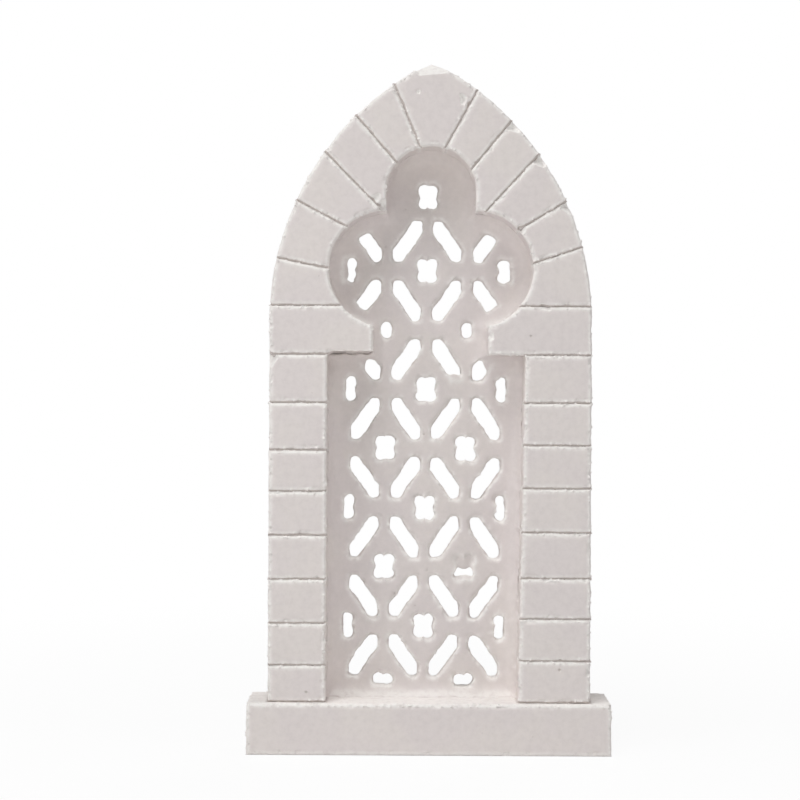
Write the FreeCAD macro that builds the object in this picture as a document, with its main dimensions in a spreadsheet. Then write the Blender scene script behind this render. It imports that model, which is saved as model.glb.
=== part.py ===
import FreeCAD, Part

import math
import os

import Sketcher

# Small plaster model of a pointed church window, built stone by stone.
# It stands on its sill with its front towards -Y, +X to the right and +Z up. The origin lies
# under the middle of the sill, on the level that the sill stands on. All sizes are in
# millimetres and degrees, and live in the sheet called dims.

DIMENSIONS = (
    ("frame_width", 80.8, "over both jambs"),
    ("frame_depth", 14.0, "jambs, imposts and arch, front to back"),
    ("sill_overhang", 5.2, "how far the sill runs past each jamb"),
    ("sill_height", 12.9, "sill, bottom to top"),
    ("sill_depth", 15.5, "sill, front to back"),
    ("left_jamb_width", 14.5, "left jamb, across"),
    ("right_jamb_width", 16.7, "right jamb, across its top"),
    ("right_jamb_splay", 0.88, "slope of the right jamb's inner side, which widens it downwards"),
    ("impost_height", 12.2, "imposts, bottom to top"),
    ("springing_rise", 8.5, "springing of the arch above the underside of the imposts"),
    ("arch_radius", 72.5, "each outer arc of the pointed arch"),
    ("neck_width", 28.8, "between the imposts"),
    ("lobe_radius", 14.6, "side lobes of the trefoil"),
    ("lobe_spacing", 22.0, "between the centres of the side lobes"),
    ("lobe_rise", 21.5, "centres of the side lobes above the underside of the imposts"),
    ("crown_radius", 11.2, "top lobe of the trefoil"),
    ("crown_rise", 41.0, "centre of the top lobe above the underside of the imposts"),
    ("bevel", 0.5, "bevel round the front face of each stone"),
    ("left_course_1", 9.2, "height of the lowest block in the left jamb"),
    ("left_course_2", 10.5, "second block"),
    ("left_course_3", 11.0, "third block"),
    ("left_course_4", 11.0, "fourth block"),
    ("left_course_5", 11.0, "fifth block"),
    ("left_course_6", 10.3, "sixth block"),
    ("left_course_7", 11.9, "seventh block"),
    ("left_course_8", 12.1, "top block; the left jamb sets the level of the imposts"),
    ("right_course_1", 10.5, "height of the lowest block in the right jamb"),
    ("right_course_2", 10.5, "second block"),
    ("right_course_3", 10.1, "third block"),
    ("right_course_4", 11.5, "fourth block"),
    ("right_course_5", 11.0, "fifth block"),
    ("right_course_6", 10.8, "sixth block"),
    ("right_course_7", 10.6, "seventh block; the eighth fills the rest"),
    ("left_angle_1", 12.4, "left half of the arch: first joint, up the outer arc from the springing"),
    ("left_angle_2", 24.5, "second joint"),
    ("left_angle_3", 35.6, "third joint"),
    ("left_angle_4", 45.1, "fourth joint"),
    ("left_angle_5", 54.9, "left joint of the keystone"),
    ("right_angle_1", 14.9, "right half of the arch: first joint, up the outer arc from the springing"),
    ("right_angle_2", 24.5, "second joint"),
    ("right_angle_3", 35.3, "third joint"),
    ("right_angle_4", 43.9, "fourth joint"),
    ("right_angle_5", 53.0, "right joint of the keystone"),
    ("left_tilt_1", 11.3, "slope of the first joint in the left half of the arch"),
    ("left_tilt_2", 27.6, "second joint"),
    ("left_tilt_3", 45.2, "third joint"),
    ("left_tilt_4", 49.2, "fourth joint"),
    ("left_tilt_5", 67.4, "left joint of the keystone"),
    ("right_tilt_1", 18.8, "slope of the first joint in the right half of the arch"),
    ("right_tilt_2", 31.2, "second joint"),
    ("right_tilt_3", 47.4, "third joint"),
    ("right_tilt_4", 50.8, "fourth joint"),
    ("right_tilt_5", 61.3, "right joint of the keystone"),
    ("screen_thickness", 3.5, "pierced screen, front to back"),
    ("cell_width", 10.33, "half a diamond of the screen, across"),
    ("cell_height", 15.24, "half a diamond of the screen, upwards"),
    ("screen_offset", -1.4, "foot of the pattern in the screen, to the right of the middle"),
    ("screen_lean", 0.35, "lean of the pattern in the screen, to the right"),
    ("field_rise", 2.3, "lowest row of eyes above the sill"),
    ("field_drop", 0.8, "plain strip of the screen under the imposts"),
    ("field_neck", 25.8, "pierced strip of the screen between and above the imposts, across"),
    ("lobe_border", 3.6, "plain border of the screen round the side lobes"),
    ("slot_width", 7.2, "slot, across"),
    ("slot_height", 10.5, "slot, upwards"),
    ("slot_end", 2.1, "level edge at each end of a slot"),
    ("slot_side", 3.1, "upright edge at each end of a slot"),
    ("slot_corner", 0.7, "rounding of the slot's corners"),
    ("eye_width", 5.1, "four-lobed eye, across"),
    ("eye_height", 6.3, "four-lobed eye, upwards"),
    ("eye_lobe", 1.4, "radius of the lobes of an eye"),
    ("eye_notch", 0.55, "depth of the notches between the lobes"),
    ("neck_eye_width", 2.5, "small eye between the imposts, across"),
    ("neck_eye_height", 4.1, "small eye between the imposts, upwards"),
    ("hole_draft", 0.3, "how much wider a hole is at the front than at the back, on each side"),
)

COURSES = 8
ARCH_JOINTS = 5
FIELD_ROWS = 8
HALF_FIELD = 2  # columns of slots on each side of the middle
OVERRUN = 1.0  # how far a cutting tool runs past what it cuts
FIRST_GUESS = 10.0  # any size, until the sheet sets the real one
OVAL_ROUNDING = 0.9  # corner radius of an oval hole, as a share of half its width
BLUNT = math.radians(110)  # a wider corner in a hole's outline stays as it is

doc = FreeCAD.newDocument("arched_window")
sheet = doc.addObject("Spreadsheet::Sheet", "dims")
for row, (alias, value, note) in enumerate(DIMENSIONS, start=1):
    sheet.set(f"A{row}", alias)
    sheet.set(f"B{row}", str(value))
    sheet.set(f"C{row}", note)
    sheet.setAlias(f"B{row}", alias)
doc.recompute()

BACK = "dims.sill_depth / 2"
LEFT_COURSES = [f"dims.left_course_{course}" for course in range(1, COURSES + 1)]
JAMB_HEIGHT = f"({' + '.join(LEFT_COURSES)})"
JAMB_TOP = f"(dims.sill_height + {JAMB_HEIGHT})"
IMPOST_TOP = f"({JAMB_TOP} + dims.impost_height)"
SPRINGING = f"({JAMB_TOP} + dims.springing_rise)"
LOBE_LEVEL = f"({JAMB_TOP} + dims.lobe_rise)"
CROWN_LEVEL = f"({JAMB_TOP} + dims.crown_rise)"
ARC_OFFSET = "(dims.arch_radius - dims.frame_width / 2)"
FIELD_BASE = "(dims.sill_height + dims.field_rise)"
SPLAY = "tan(dims.right_jamb_splay)"
REACH = "dims.arch_radius"


def size(alias):
    """Value of one cell of the sheet."""
    return float(sheet.get(alias))


def place(thing, x, y, z):
    """Bind the position of an object to the sheet."""
    for axis, expression in zip("xyz", (x, y, z)):
        thing.setExpression(f"Placement.Base.{axis}", str(expression))


def box(name, x, z, width, height, depth, overrun=0):
    """Upright box whose back lies on the back of the part, or runs past it and past the front."""
    thing = doc.addObject("Part::Box", name)
    thing.setExpression("Length", width)
    thing.setExpression("Height", height)
    thing.setExpression("Width", f"{depth} + {2 * overrun}")
    place(thing, x, f"{BACK} - {depth} - {overrun}", z)
    return thing


def drum(name, x, z, radius, overrun=0):
    """Cylinder that runs through the frame from back to front."""
    thing = doc.addObject("Part::Cylinder", name)
    thing.Placement.Rotation = FreeCAD.Rotation(FreeCAD.Vector(1, 0, 0), 90)
    thing.setExpression("Radius", radius)
    thing.setExpression("Height", f"dims.frame_depth + {2 * overrun}")
    place(thing, x, f"{BACK} + {overrun}", z)
    return thing


def fuse(name, *shapes):
    """Union of two or more objects."""
    thing = doc.addObject("Part::MultiFuse", name)
    thing.Shapes = list(shapes)
    thing.Refine = True
    return thing


def common(name, *shapes):
    """What two or more objects share."""
    thing = doc.addObject("Part::MultiCommon", name)
    thing.Shapes = list(shapes)
    thing.Refine = True
    return thing


def cut(name, base, tool):
    """Base less tool."""
    thing = doc.addObject("Part::Cut", name)
    thing.Base = base
    thing.Tool = tool
    thing.Refine = True
    return thing


def bevel_front(body, feature):
    """Bevel every edge of the foremost face, which makes the grooves between the stones."""
    doc.recompute()
    faces = feature.Shape.Faces
    front = min(range(len(faces)), key=lambda number: faces[number].BoundBox.YMax)
    chamfer = body.newObject("PartDesign::Chamfer", f"{body.Name}_bevel")
    chamfer.Base = (feature, [f"Face{front + 1}"])
    chamfer.setExpression("Size", "dims.bevel")


def squared_stone(name, x, z, width, height, depth, inset=None):
    """Stone with a rectangular front, or with its left side leaning in by an inset at the top."""
    body = doc.addObject("PartDesign::Body", name)
    plane = next(item for item in body.Origin.OriginFeatures if item.Role == "XZ_Plane")
    sketch = body.newObject("Sketcher::SketchObject", f"{name}_outline")
    sketch.AttachmentSupport = (plane, "")
    sketch.MapMode = "FlatFace"
    guess = FIRST_GUESS
    corners = [FreeCAD.Vector(*corner, 0) for corner in ((0, 0), (guess, 0), (guess, guess), (0, guess))]
    for number in range(4):
        sketch.addGeometry(Part.LineSegment(corners[number], corners[(number + 1) % 4]), False)
    for number in range(4):
        sketch.addConstraint(Sketcher.Constraint("Coincident", number, 2, (number + 1) % 4, 1))
    sketch.addConstraint(Sketcher.Constraint("Horizontal", 0))
    sketch.addConstraint(Sketcher.Constraint("Vertical", 1))
    sketch.addConstraint(Sketcher.Constraint("Horizontal", 2))
    sketch.addConstraint(Sketcher.Constraint("Coincident", 0, 1, -1, 1))
    across = sketch.addConstraint(Sketcher.Constraint("DistanceX", 0, 1, 0, 2, guess))
    upwards = sketch.addConstraint(Sketcher.Constraint("DistanceY", 1, 1, 1, 2, guess))
    sketch.setExpression(f"Constraints[{across}]", width)
    sketch.setExpression(f"Constraints[{upwards}]", height)
    if inset:
        leaning = sketch.addConstraint(Sketcher.Constraint("DistanceX", 3, 2, 3, 1, guess / 2))
        sketch.setExpression(f"Constraints[{leaning}]", inset)
    else:
        sketch.addConstraint(Sketcher.Constraint("Vertical", 3))
    pad = body.newObject("PartDesign::Pad", f"{name}_block")
    pad.Profile = sketch
    pad.setExpression("Length", depth)
    place(body, x, BACK, z)
    bevel_front(body, pad)
    return body


def right_width(level):
    """Width of the right jamb at one level."""
    return f"(dims.right_jamb_width + ({JAMB_TOP} - ({level})) * {SPLAY})"


def jamb(side):
    """Column of blocks; on the right the top one fills what the others leave."""
    blocks = []
    level = "dims.sill_height"
    rest = JAMB_HEIGHT
    for course in range(1, COURSES + 1):
        height = f"dims.{side}_course_{course}"
        if side == "right" and course == COURSES:
            height = rest
        rest += f" - {height}"
        name = f"{side}_jamb_block_{course}"
        if side == "left":
            blocks.append(squared_stone(
                name, "-dims.frame_width / 2", level, "dims.left_jamb_width", height, "dims.frame_depth",
            ))
        else:
            width = right_width(level)
            blocks.append(squared_stone(
                name, f"dims.frame_width / 2 - {width}", level, width, height, "dims.frame_depth",
                f"({height}) * {SPLAY}",
            ))
        level += f" + {height}"
    return blocks


def opening():
    """The light of the window: between the jambs, a neck and a trefoil, through the whole depth."""
    between_jambs = doc.addObject("Part::Wedge", "opening_between_jambs")
    between_jambs.Placement.Rotation = FreeCAD.Rotation(FreeCAD.Vector(1, 0, 0), 90)
    between_jambs.Ymin = between_jambs.Zmin = between_jambs.Z2min = 0
    left = "dims.left_jamb_width - dims.frame_width / 2"
    for name, expression in (
        ("Ymax", JAMB_HEIGHT),
        ("Xmin", left),
        ("X2min", left),
        ("Xmax", f"dims.frame_width / 2 - {right_width('dims.sill_height')}"),
        ("X2max", "dims.frame_width / 2 - dims.right_jamb_width"),
        ("Zmax", f"dims.frame_depth + {2 * OVERRUN}"),
        ("Z2max", f"dims.frame_depth + {2 * OVERRUN}"),
    ):
        between_jambs.setExpression(name, expression)
    place(between_jambs, "0", f"{BACK} + {OVERRUN}", "dims.sill_height")
    neck = box(
        "opening_neck", "-dims.neck_width / 2", JAMB_TOP,
        "dims.neck_width", "dims.lobe_rise", "dims.frame_depth", OVERRUN,
    )
    left_lobe = drum(
        "opening_left_lobe", "-dims.lobe_spacing / 2", LOBE_LEVEL, "dims.lobe_radius", OVERRUN,
    )
    right_lobe = drum(
        "opening_right_lobe", "dims.lobe_spacing / 2", LOBE_LEVEL, "dims.lobe_radius", OVERRUN,
    )
    stilt = box(
        "opening_stilt", "-dims.crown_radius", LOBE_LEVEL,
        "2 * dims.crown_radius", "dims.crown_rise - dims.lobe_rise", "dims.frame_depth", OVERRUN,
    )
    crown = drum("opening_crown", "0", CROWN_LEVEL, "dims.crown_radius", OVERRUN)
    return fuse("opening", between_jambs, neck, left_lobe, right_lobe, stilt, crown)


def arch_ring(light):
    """Everything from the underside of the imposts to the point of the arch, less the light."""
    left_arc = drum("left_arc", ARC_OFFSET, SPRINGING, "dims.arch_radius")
    right_arc = drum("right_arc", f"-{ARC_OFFSET}", SPRINGING, "dims.arch_radius")
    upper = box(
        "above_springing", "-dims.frame_width / 2", SPRINGING,
        "dims.frame_width", REACH, "dims.frame_depth",
    )
    lower = box(
        "below_springing", "-dims.frame_width / 2", JAMB_TOP,
        "dims.frame_width", "dims.springing_rise", "dims.frame_depth",
    )
    outline = fuse("arch_outline", common("pointed_arch", left_arc, right_arc, upper), lower)
    body = doc.addObject("PartDesign::Body", "arch_ring")
    body.BaseFeature = cut("arch_blank", outline, light)
    doc.recompute()
    bevel_front(body, body.Group[0])
    return body


def joint_end(side, number):
    """Outer end of one joint of the arch, as expressions for x and z."""
    angle = f"dims.{side}_angle_{number}"
    sign = "-1" if side == "left" else "1"
    across = f"{sign} * (dims.arch_radius * cos({angle}) - {ARC_OFFSET})"
    return across, f"{SPRINGING} + dims.arch_radius * sin({angle})"


def turned(kind, name, side, angle):
    """Primitive turned in the plane of the front, clockwise on the left and back on the right."""
    thing = doc.addObject(kind, name)
    axis = FreeCAD.Vector(0, 1 if side == "left" else -1, 0)
    thing.Placement.Rotation = FreeCAD.Rotation(axis, FIRST_GUESS)
    thing.setExpression("Placement.Rotation.Angle", angle)
    return thing


def beyond_joint(side, number):
    """Space on the keystone's side of one joint of the arch."""
    tilt = f"dims.{side}_tilt_{number}"
    x, z = joint_end(side, number)
    sign = 1 if side == "left" else -1
    thing = turned("Part::Box", f"{side}_beyond_joint_{number}", side, tilt)
    thing.setExpression("Length", f"2 * {REACH}")
    thing.setExpression("Height", REACH)
    thing.setExpression("Width", f"dims.frame_depth + {2 * OVERRUN}")
    place(
        thing,
        f"{x} - {REACH} * cos({tilt})",
        f"{BACK} - dims.frame_depth - {OVERRUN}",
        f"{z} + {sign} * {REACH} * sin({tilt})",
    )
    return thing


def groove(name, side, x, z, tilt):
    """Square bar laid on edge along a joint; it bevels the stones on both sides of the joint."""
    bar = turned("Part::Prism", name, side, f"90 + {tilt}")
    bar.Polygon = 4
    bar.setExpression("Circumradius", "dims.bevel")
    bar.setExpression("Height", REACH)
    sign = 1 if side == "left" else -1
    place(
        bar,
        f"{x} - {sign * OVERRUN} * cos({tilt})",
        f"{BACK} - dims.frame_depth",
        f"{z} + {OVERRUN} * sin({tilt})",
    )
    return bar


def arch_half(side, ring, half_start, band):
    """Impost and voussoirs of one side, with the space and the groove at the keystone's joint."""
    half_space = box(
        f"{side}_half_space", half_start, JAMB_TOP,
        "dims.frame_width / 2", f"2 * {REACH}", "dims.frame_depth",
    )
    edge = f"{-1 if side == 'left' else 1} * dims.frame_width / 2"
    grooves = [groove(f"{side}_groove_0", side, edge, IMPOST_TOP, "0")]
    for number in range(1, ARCH_JOINTS + 1):
        x, z = joint_end(side, number)
        grooves.append(groove(f"{side}_groove_{number}", side, x, z, f"dims.{side}_tilt_{number}"))
    half = common(f"{side}_half", ring, half_space)
    dressed = cut(f"{side}_dressed", half, fuse(f"{side}_grooves", *grooves))
    stones = [common(f"{side}_impost", dressed, band)]
    rest = cut(f"{side}_above_impost", dressed, band)
    for number in range(1, ARCH_JOINTS + 1):
        beyond = beyond_joint(side, number)
        stones.append(cut(f"{side}_voussoir_{number}", rest, beyond))
        rest = common(f"{side}_rest_{number}", rest, beyond)
    return stones, beyond, grooves[-1]


def rounded_wire(corners, radius, y):
    """Closed outline in a plane facing the front, with an arc at each corner that isn't blunt."""
    points = [FreeCAD.Vector(x, y, z) for x, z in corners]
    arcs = []
    for number, corner in enumerate(points):
        before = (points[number - 1] - corner).normalize()
        after = (points[(number + 1) % len(points)] - corner).normalize()
        half_angle = before.getAngle(after) / 2
        reach = 0.0 if half_angle > BLUNT / 2 else radius / math.tan(half_angle)
        inwards = (before + after).normalize()
        middle = corner + inwards * (radius / math.sin(half_angle) - radius)
        arcs.append((corner + before * reach, middle, corner + after * reach))
    edges = []
    for number, (start, middle, end) in enumerate(arcs):
        if start != end:
            edges.append(Part.Arc(start, middle, end).toShape())
        edges.append(Part.makeLine(end, arcs[(number + 1) % len(arcs)][0]))
    return Part.Wire(edges)


def drafted(outline, details, back, front):
    """Solid between an outline at the back and the same outline, wider, at the front."""
    narrow = outline(*details, 0.0, back)
    wide = outline(*details, size("hole_draft"), front)
    return Part.makeLoft([narrow, wide], True, True)


def slot_outline(x, z, lean, grow, y):
    """Six-sided slot along one side of a diamond; lean is 1 for a rise to the right, or -1."""
    half_width = size("slot_width") / 2 + grow
    half_height = size("slot_height") / 2 + grow
    end = size("slot_end") + grow
    side = size("slot_side") + grow
    upper = ((half_width, half_height), (half_width, half_height - side), (end - half_width, -half_height))
    corners = upper + tuple((-across, -up) for across, up in upper)
    return rounded_wire([(x + lean * across, z + up) for across, up in corners], size("slot_corner"), y)


def oval_outline(x, z, grow, y):
    """Small upright hole between the imposts."""
    half_width = size("neck_eye_width") / 2 + grow
    half_height = size("neck_eye_height") / 2 + grow
    corners = ((half_width, half_height), (half_width, -half_height),
               (-half_width, -half_height), (-half_width, half_height))
    return rounded_wire([(x + across, z + up) for across, up in corners], half_width * OVAL_ROUNDING, y)


def core_outline(x, z, grow, y):
    """Rectangle that joins the lobes of an eye and leaves the notches between them."""
    half_width = size("eye_width") / 2 - size("eye_notch") + grow
    half_height = size("eye_height") / 2 - size("eye_notch") + grow
    corners = ((1, 1), (1, -1), (-1, -1), (-1, 1), (1, 1))
    return Part.makePolygon([
        FreeCAD.Vector(x + right * half_width, y, z + top * half_height) for right, top in corners
    ])


def eye(x, z, back, front):
    """Four round lobes on the diagonals, with a notch above, below and on each side."""
    radius = size("eye_lobe") + size("hole_draft") / 2
    across = size("eye_width") / 2 - size("eye_lobe")
    up = size("eye_height") / 2 - size("eye_lobe")
    forwards = FreeCAD.Vector(0, -1, 0)
    lobes = []
    for right in (-1, 1):
        for top in (-1, 1):
            foot = FreeCAD.Vector(x + right * across, back, z + top * up)
            lobes.append(Part.makeCylinder(radius, back - front, foot, forwards))
    core = drafted(core_outline, (x, z), back, front)
    return core.multiFuse(lobes).removeSplitter()


def screen_holes(jamb_top):
    """Slots along the sides of every diamond and an eye in the middle of each."""
    back = size("sill_depth") / 2 + OVERRUN
    front = size("sill_depth") / 2 - size("screen_thickness") - OVERRUN
    cell_width = size("cell_width")
    cell_height = size("cell_height")
    base = size("sill_height") + size("field_rise")
    holes = []
    for row in range(FIELD_ROWS):
        z = base + (row + 0.5) * cell_height
        for column in range(-HALF_FIELD, HALF_FIELD):
            x = (column + 0.5) * cell_width
            lean = -1 if (row + column) % 2 else 1
            holes.append(drafted(slot_outline, (x, z, lean), back, front))
    for row in range(FIELD_ROWS):
        z = base + row * cell_height
        between_imposts = jamb_top < z < jamb_top + size("impost_height")
        for column in range(-HALF_FIELD, HALF_FIELD + 1):
            if (row + column) % 2 == 0:
                continue
            x = column * cell_width
            if between_imposts:
                holes.append(drafted(oval_outline, (x, z), back, front))
            else:
                holes.append(eye(x, z, back, front))
    return holes


def screen(light):
    """The pierced screen: the light's own outline, set at the back, less its holes."""
    slab = box(
        "screen_slab", "-dims.frame_width / 2", "dims.sill_height",
        "dims.frame_width", f"2 * {REACH} + {JAMB_HEIGHT}", "dims.screen_thickness",
    )
    blank = common("screen_blank", light, slab)
    jamb_top = size("sill_height") + sum(size(f"left_course_{course}") for course in range(1, COURSES + 1))
    pattern = doc.addObject("Part::Feature", "screen_pattern")
    pattern.Shape = Part.Compound(screen_holes(jamb_top))
    field = fuse(
        "screen_field",
        box(
            "field_rectangle", f"-{HALF_FIELD} * dims.cell_width", FIELD_BASE,
            f"{2 * HALF_FIELD} * dims.cell_width", f"{JAMB_HEIGHT} - dims.field_rise - dims.field_drop",
            "dims.frame_depth", OVERRUN,
        ),
        box(
            "field_strip", "-dims.field_neck / 2", FIELD_BASE,
            "dims.field_neck", f"{FIELD_ROWS} * dims.cell_height", "dims.frame_depth", OVERRUN,
        ),
        drum("field_left_lobe", "-dims.lobe_spacing / 2", LOBE_LEVEL,
             "dims.lobe_radius - dims.lobe_border", OVERRUN),
        drum("field_right_lobe", "dims.lobe_spacing / 2", LOBE_LEVEL,
             "dims.lobe_radius - dims.lobe_border", OVERRUN),
    )
    crown_eye = doc.addObject("Part::Feature", "crown_eye")
    middle = size("sill_depth") / 2
    level = jamb_top + size("crown_rise")
    crown_eye.Shape = eye(0, level, middle + OVERRUN, middle - size("screen_thickness") - OVERRUN)
    cuts = fuse("screen_cuts", common("screen_field_cuts", pattern, field), crown_eye)
    cuts.Placement.Rotation = FreeCAD.Rotation(FreeCAD.Vector(0, 1, 0), FIRST_GUESS)
    cuts.setExpression("Placement.Rotation.Angle", "dims.screen_lean")
    place(
        cuts,
        f"dims.screen_offset - {FIELD_BASE} * sin(dims.screen_lean)",
        "0",
        f"{FIELD_BASE} * (1 - cos(dims.screen_lean))",
    )
    whole = cut("lattice_screen", blank, cuts)
    doc.recompute()
    return whole


light = opening()
ring = arch_ring(light)
band = box(
    "impost_band", f"-dims.frame_width / 2 - {OVERRUN}", f"{JAMB_TOP} - {OVERRUN}",
    f"dims.frame_width + {2 * OVERRUN}", f"dims.impost_height + {OVERRUN}", "dims.frame_depth", OVERRUN,
)

sub_parts = [squared_stone(
    "sill", "-dims.frame_width / 2 - dims.sill_overhang", "0",
    "dims.frame_width + 2 * dims.sill_overhang", "dims.sill_height", "dims.sill_depth",
)]
sub_parts += jamb("left")
sub_parts += jamb("right")
left_stones, beyond_left, left_groove = arch_half("left", ring, "-dims.frame_width / 2", band)
right_stones, beyond_right, right_groove = arch_half("right", ring, "0", band)
sub_parts += left_stones + right_stones
keystone_blank = common("keystone_blank", ring, beyond_left, beyond_right)
sub_parts.append(cut("keystone", keystone_blank, fuse("keystone_grooves", left_groove, right_groove)))
sub_parts.append(screen(light))
doc.recompute()

for thing in doc.Objects:
    if "Invalid" in thing.State or "Error" in thing.State:
        raise RuntimeError(f"{thing.Name} did not recompute: {thing.State}")
os.makedirs("parts", exist_ok=True)
for part in sub_parts:
    if part.Shape.isNull() or not part.Shape.isValid():
        raise RuntimeError(f"{part.Label} has no sound shape")
    if len(part.Shape.Solids) != 1:
        raise RuntimeError(f"{part.Label} has {len(part.Shape.Solids)} solids")
    part.Shape.exportStep(os.path.join("parts", f"{part.Label}.step"))
    print(part.Label, round(part.Shape.Volume, 2))
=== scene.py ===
import math

import bmesh
import bpy
import numpy as np
from mathutils import Matrix, Vector
from mathutils.bvhtree import BVHTree


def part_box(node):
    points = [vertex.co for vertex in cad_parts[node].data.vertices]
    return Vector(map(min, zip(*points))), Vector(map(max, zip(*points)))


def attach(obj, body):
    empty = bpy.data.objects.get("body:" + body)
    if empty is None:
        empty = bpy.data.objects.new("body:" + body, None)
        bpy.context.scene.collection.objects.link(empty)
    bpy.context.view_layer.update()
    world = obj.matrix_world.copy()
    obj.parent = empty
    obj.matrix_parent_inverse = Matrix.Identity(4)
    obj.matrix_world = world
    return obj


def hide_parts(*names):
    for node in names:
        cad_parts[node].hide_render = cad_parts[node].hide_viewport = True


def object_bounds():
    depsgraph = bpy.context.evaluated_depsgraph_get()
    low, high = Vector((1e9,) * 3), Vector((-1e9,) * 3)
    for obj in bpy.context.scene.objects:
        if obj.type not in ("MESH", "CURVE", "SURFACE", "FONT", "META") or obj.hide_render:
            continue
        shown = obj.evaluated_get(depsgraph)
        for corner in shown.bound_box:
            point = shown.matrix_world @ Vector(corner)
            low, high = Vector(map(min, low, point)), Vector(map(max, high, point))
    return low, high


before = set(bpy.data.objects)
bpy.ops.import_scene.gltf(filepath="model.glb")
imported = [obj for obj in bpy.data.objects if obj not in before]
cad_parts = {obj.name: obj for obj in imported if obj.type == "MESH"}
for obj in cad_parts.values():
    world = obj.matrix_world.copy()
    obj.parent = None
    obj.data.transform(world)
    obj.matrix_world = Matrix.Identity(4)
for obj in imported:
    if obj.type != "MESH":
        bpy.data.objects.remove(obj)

bl_info = {
    "name": "Plaster Window Casting",
    "version": (1, 0, 0),
    "blender": (4, 5, 0),
    "location": "3D Viewport > Sidebar > Casting",
    "description": "Turns the sharp stones of a small arched window into a worn plaster casting",
    "category": "Object",
}

MM = 0.001
BODY = "root"
CAD_BOX = [list(corner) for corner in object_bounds()]
SOURCES = dict(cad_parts)
SCREEN = "lattice_screen"

# Depths: the front and the back of the stones, and the front and the middle of the screen.
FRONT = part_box("keystone")[0].y
BACK = CAD_BOX[1][1]
SCREEN_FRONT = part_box(SCREEN)[0].y
SCREEN_MIDDLE = (SCREEN_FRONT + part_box(SCREEN)[1].y) / 2

# An edge that turns by more than this is an arris.
SHARP = math.radians(28)

# A vertex nearer to another piece than the first distance stays, beyond the second it wears fully,
# and one of the screen's vertices nearer to a stone than the third lies on its border.
TOUCHING = 0.03 * MM
FREE = 0.45 * MM
BORDERING = 3 * TOUCHING

# Least value of a mark that counts as set.
MARKED = 0.99

# Widths of the painted highlight on the lip under a joint and of the dark joint line over it, which is also
# painted as the shadow under the upper stone. The third number is larger, the more sharply a joint's two
# sides are told apart by which of them looks up.
LIP = 1.0 * MM
CREVICE = 0.65 * MM
TILT = 1.2

# The joints show no deeper in the reveal than this, and fade out over this length.
JOINT_DEPTH = 1.4 * MM
JOINT_FADE = 0.6 * MM

# The wear fades out towards the floor over this height, and no crumb sticks below the second one.
FOOT = 0.6 * MM
CRUMBS_ABOVE = 1.5 * MM

# Crumbs stick to the stones down to this depth. Their smallest and largest stretch on three axes,
# and the groups of stones that have more of them than the rest.
CRUMBS_BEHIND = 1.2 * MM
SMALLEST_CRUMB = (0.5, 0.5, 0.4)
LARGEST_CRUMB = (1.9, 1.2, 1.0)
RIGHT_JAMB_CRUMBS = 1.6
LEFT_IMPOST_CRUMBS = 2.2
RIGHT_IMPOST_CRUMBS = 1.4

# Steps between the seeds of two pieces, and from a piece's crumbs to its wear.
PIECE_STEP = 10
WEAR_STEP = 3

# The underside of the left impost is worn away over the opening: how far, how softly it starts
# beside the jamb, and how far in front of the screen's middle it ends, and how softly.
UNDERSIDE_WEAR = 1.0 * MM
UNDERSIDE_START = 1.5 * MM
UNDERSIDE_END = 3 * MM
UNDERSIDE_FADE = 2 * MM

# Half the thickness of a web.
WEB_THICKNESS = 0.8 * MM

# A chip is cut in full near its middle and less towards its reach. The first number is larger, the
# wider that middle is. A cut as deep as the second one is wholly whitened, partly as newly broken plaster
# and partly as a painted highlight.
CHIP_PLATEAU = 3
FRESH_AND_LIT_CUT = 0.25 * MM

# Points nearer than this are one, and the next two stand for no distance and no radius.
MERGE = 0.002 * MM
NO_DISTANCE = 1e-7
NO_RADIUS = 0.001 * MM

# A part that hangs free with fewer vertices than this is a speck.
SPECK = 100

# Radius of the smallest open air bubble, as a share of the largest.
SMALLEST_PIT = 0.35

# Broken arrises: the levels of the noise at which one starts to break and is wholly broken, and the
# share of the depth that is lost everywhere.
BREAK_START = 0.50
BREAK_FULL = 0.70
BREAK_ALWAYS = 0.1

# Levels of the noise at which a face isn't sunk, and how much rougher it is at an arris.
SWELL_LEVEL = 0.6
GRAIN_LEVEL = 0.5
ARRIS_GRAIN = 2.2

# Stretch of the straying on three axes.
DRIFT = (2.0, 0.4, 2.0)

# Rubbing of arrises, made whiter as a painted highlight where they look up, and painted light that whitens
# faces which look up, by how far up they look.
ARRIS_LIGHT_START = -0.15
ARRIS_LIGHT_FULL = 0.35
RUB_LEAST = 0.6
TOP_LIGHT_START = 0.5
TOP_LIGHT_FULL = 0.9
TOP_LIGHT_MOST = 0.7

# Lengths of the pattern in the plaster.
PATCH_LENGTH = 16 * MM
MOTTLE_LENGTH = 1.6 * MM
FINE_LENGTH = 0.35 * MM
PINHOLE_LENGTH = 1.5 * MM

# Radius of a pinhole as a share of its length, depth of the fine pattern, how dark the painted shade makes
# a pit, and how dark the dark joint line with its painted shadow makes a joint.
PINHOLE_RADIUS = 0.14
BUMP_DEPTH = 0.05 * MM
PIT_SHADE_LEVEL = 0.35
JOINT_DIRT_AND_SHADOW = 0.7

# Share of the triangles that is kept.
SCREEN_SHARE = 0.5
STONE_SHARE = 0.24

# Lamps: azimuth and elevation in degrees, where azimuth 0 is straight in front, distance and width
# in metres, and power in watts.
LAMPS = {
    "overhead": (-30, 66, 1.0, 0.5, 5.0),
    "left": (-65, 35, 1.0, 0.4, 0.7),
    "right": (65, 35, 1.0, 0.4, 1.7),
    "near_left": (-60, 15, 0.4, 0.2, 0.30),
    "near_front": (0, 8, 0.4, 0.3, 0.25),
    "back": (150, 40, 1.0, 0.5, 2.2),
}

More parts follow.
